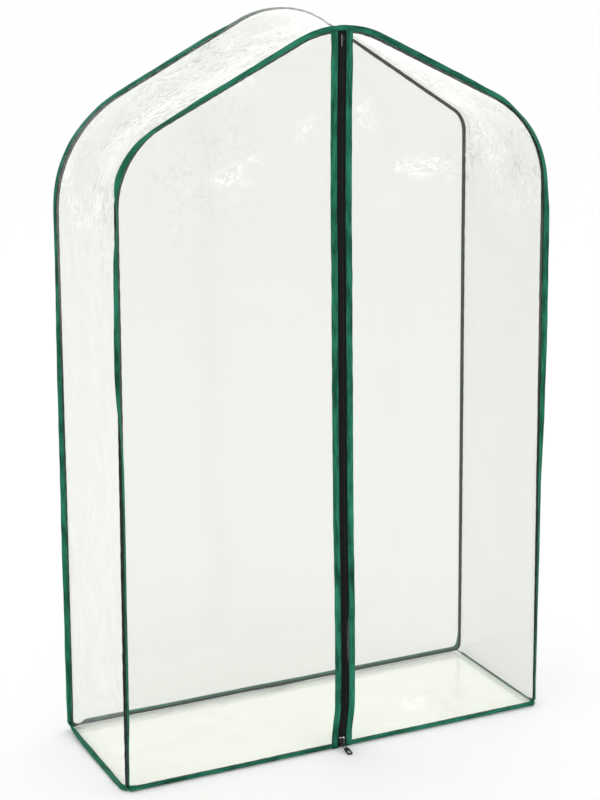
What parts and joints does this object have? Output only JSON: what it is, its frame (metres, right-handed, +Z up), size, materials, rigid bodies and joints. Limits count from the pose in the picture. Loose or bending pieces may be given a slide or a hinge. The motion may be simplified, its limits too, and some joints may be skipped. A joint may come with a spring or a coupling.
{
  "type": "mini pop up greenhouse",
  "caption": "Free-standing folding greenhouse of clear film on sprung wire loops, with a pitched roof, bound seams and a zipped front that opens as two flaps.",
  "frame": {"origin": "middle of the floor film's underside, midway between the front and back faces", "axes": "+Z up, +Y towards the back panel, +X to the right seen from the zipped front"},
  "size_m": [0.8996, 0.3531, 1.3926],
  "materials": {
    "clear_film": "clear, slightly hazy flexible PVC film",
    "green_tape": "woven polypropylene binding tape",
    "dark_sleeve": "dark woven wire sleeve",
    "spring_wire": "drawn spring steel",
    "ferrule": "crimped tube",
    "zip_tape": "black woven zip tape",
    "zip_coil": "black nylon coil",
    "slider_metal": "gunmetal plated",
    "zip_metal": "bright plated"
  },
  "bodies": {
    "front_frame": {"front_wire": "spring_wire", "front_wire_sleeve": "dark_sleeve", "front_wire_ferrule": "ferrule", "front_edge_binding": "green_tape", "front_sill_binding": "green_tape", "left_base_binding": "green_tape", "right_base_binding": "green_tape", "left_base_welt": "dark_sleeve", "right_base_welt": "dark_sleeve", "floor_film": "clear_film", "roof_and_side_film": "clear_film", "left_front_film": "clear_film", "right_front_film": "clear_film", "left_top_binding": "green_tape", "right_top_binding": "green_tape", "left_top_zip_tape": "zip_tape", "right_top_zip_tape": "zip_tape", "left_top_zip_coil": "zip_coil", "right_top_zip_coil": "zip_coil", "zip_top_stops": "slider_metal"},
    "back_frame": {"back_wire": "spring_wire", "back_wire_sleeve": "dark_sleeve", "back_wire_ferrule": "ferrule", "back_edge_binding": "green_tape", "back_panel_film": "clear_film"},
    "left_flap": {"left_flap_film": "clear_film", "left_flap_hem": "green_tape", "left_zip_binding": "green_tape", "left_zip_tape": "zip_tape", "left_zip_coil": "zip_coil"},
    "right_flap": {"right_flap_film": "clear_film", "right_flap_hem": "green_tape", "right_zip_binding": "green_tape", "right_zip_tape": "zip_tape", "right_zip_coil": "zip_coil"},
    "zip_slider": {"zip_slider": "slider_metal", "slider_bridge": "slider_metal"},
    "pull_tab": {"pull_tab_link": "zip_metal", "pull_tab": "slider_metal"}
  },
  "joints": [
    {"name": "flatten", "type": "slide", "parent": "front_frame", "child": "back_frame", "axis": [0, -1, 0], "range_m": [0, 0.275], "stiffness_N_per_m": 30, "springref_m": -0.05, "deforming": ["roof_and_side_film", "floor_film", "left_base_binding", "right_base_binding", "left_base_welt", "right_base_welt"]},
    {"name": "left_flap_open", "type": "hinge", "parent": "front_frame", "child": "left_flap", "pos_m": [-0.431, -0.1566, 0.002], "axis": [-0.325, 0, -0.9457], "range_deg": [0, 135]},
    {"name": "right_flap_open", "type": "hinge", "parent": "front_frame", "child": "right_flap", "pos_m": [0.431, -0.1566, 0.002], "axis": [-0.325, 0, 0.9457], "range_deg": [0, 135]},
    {"name": "zip_slide", "type": "slide", "parent": "front_frame", "child": "zip_slider", "axis": [0, 0, 1], "range_m": [0, 1.326]},
    {"name": "pull_tab_swing", "type": "hinge", "parent": "zip_slider", "child": "pull_tab", "pos_m": [0, -0.1626, 0.0074], "axis": [-1, 0, 0], "range_deg": [-78, 100]}
  ]
}
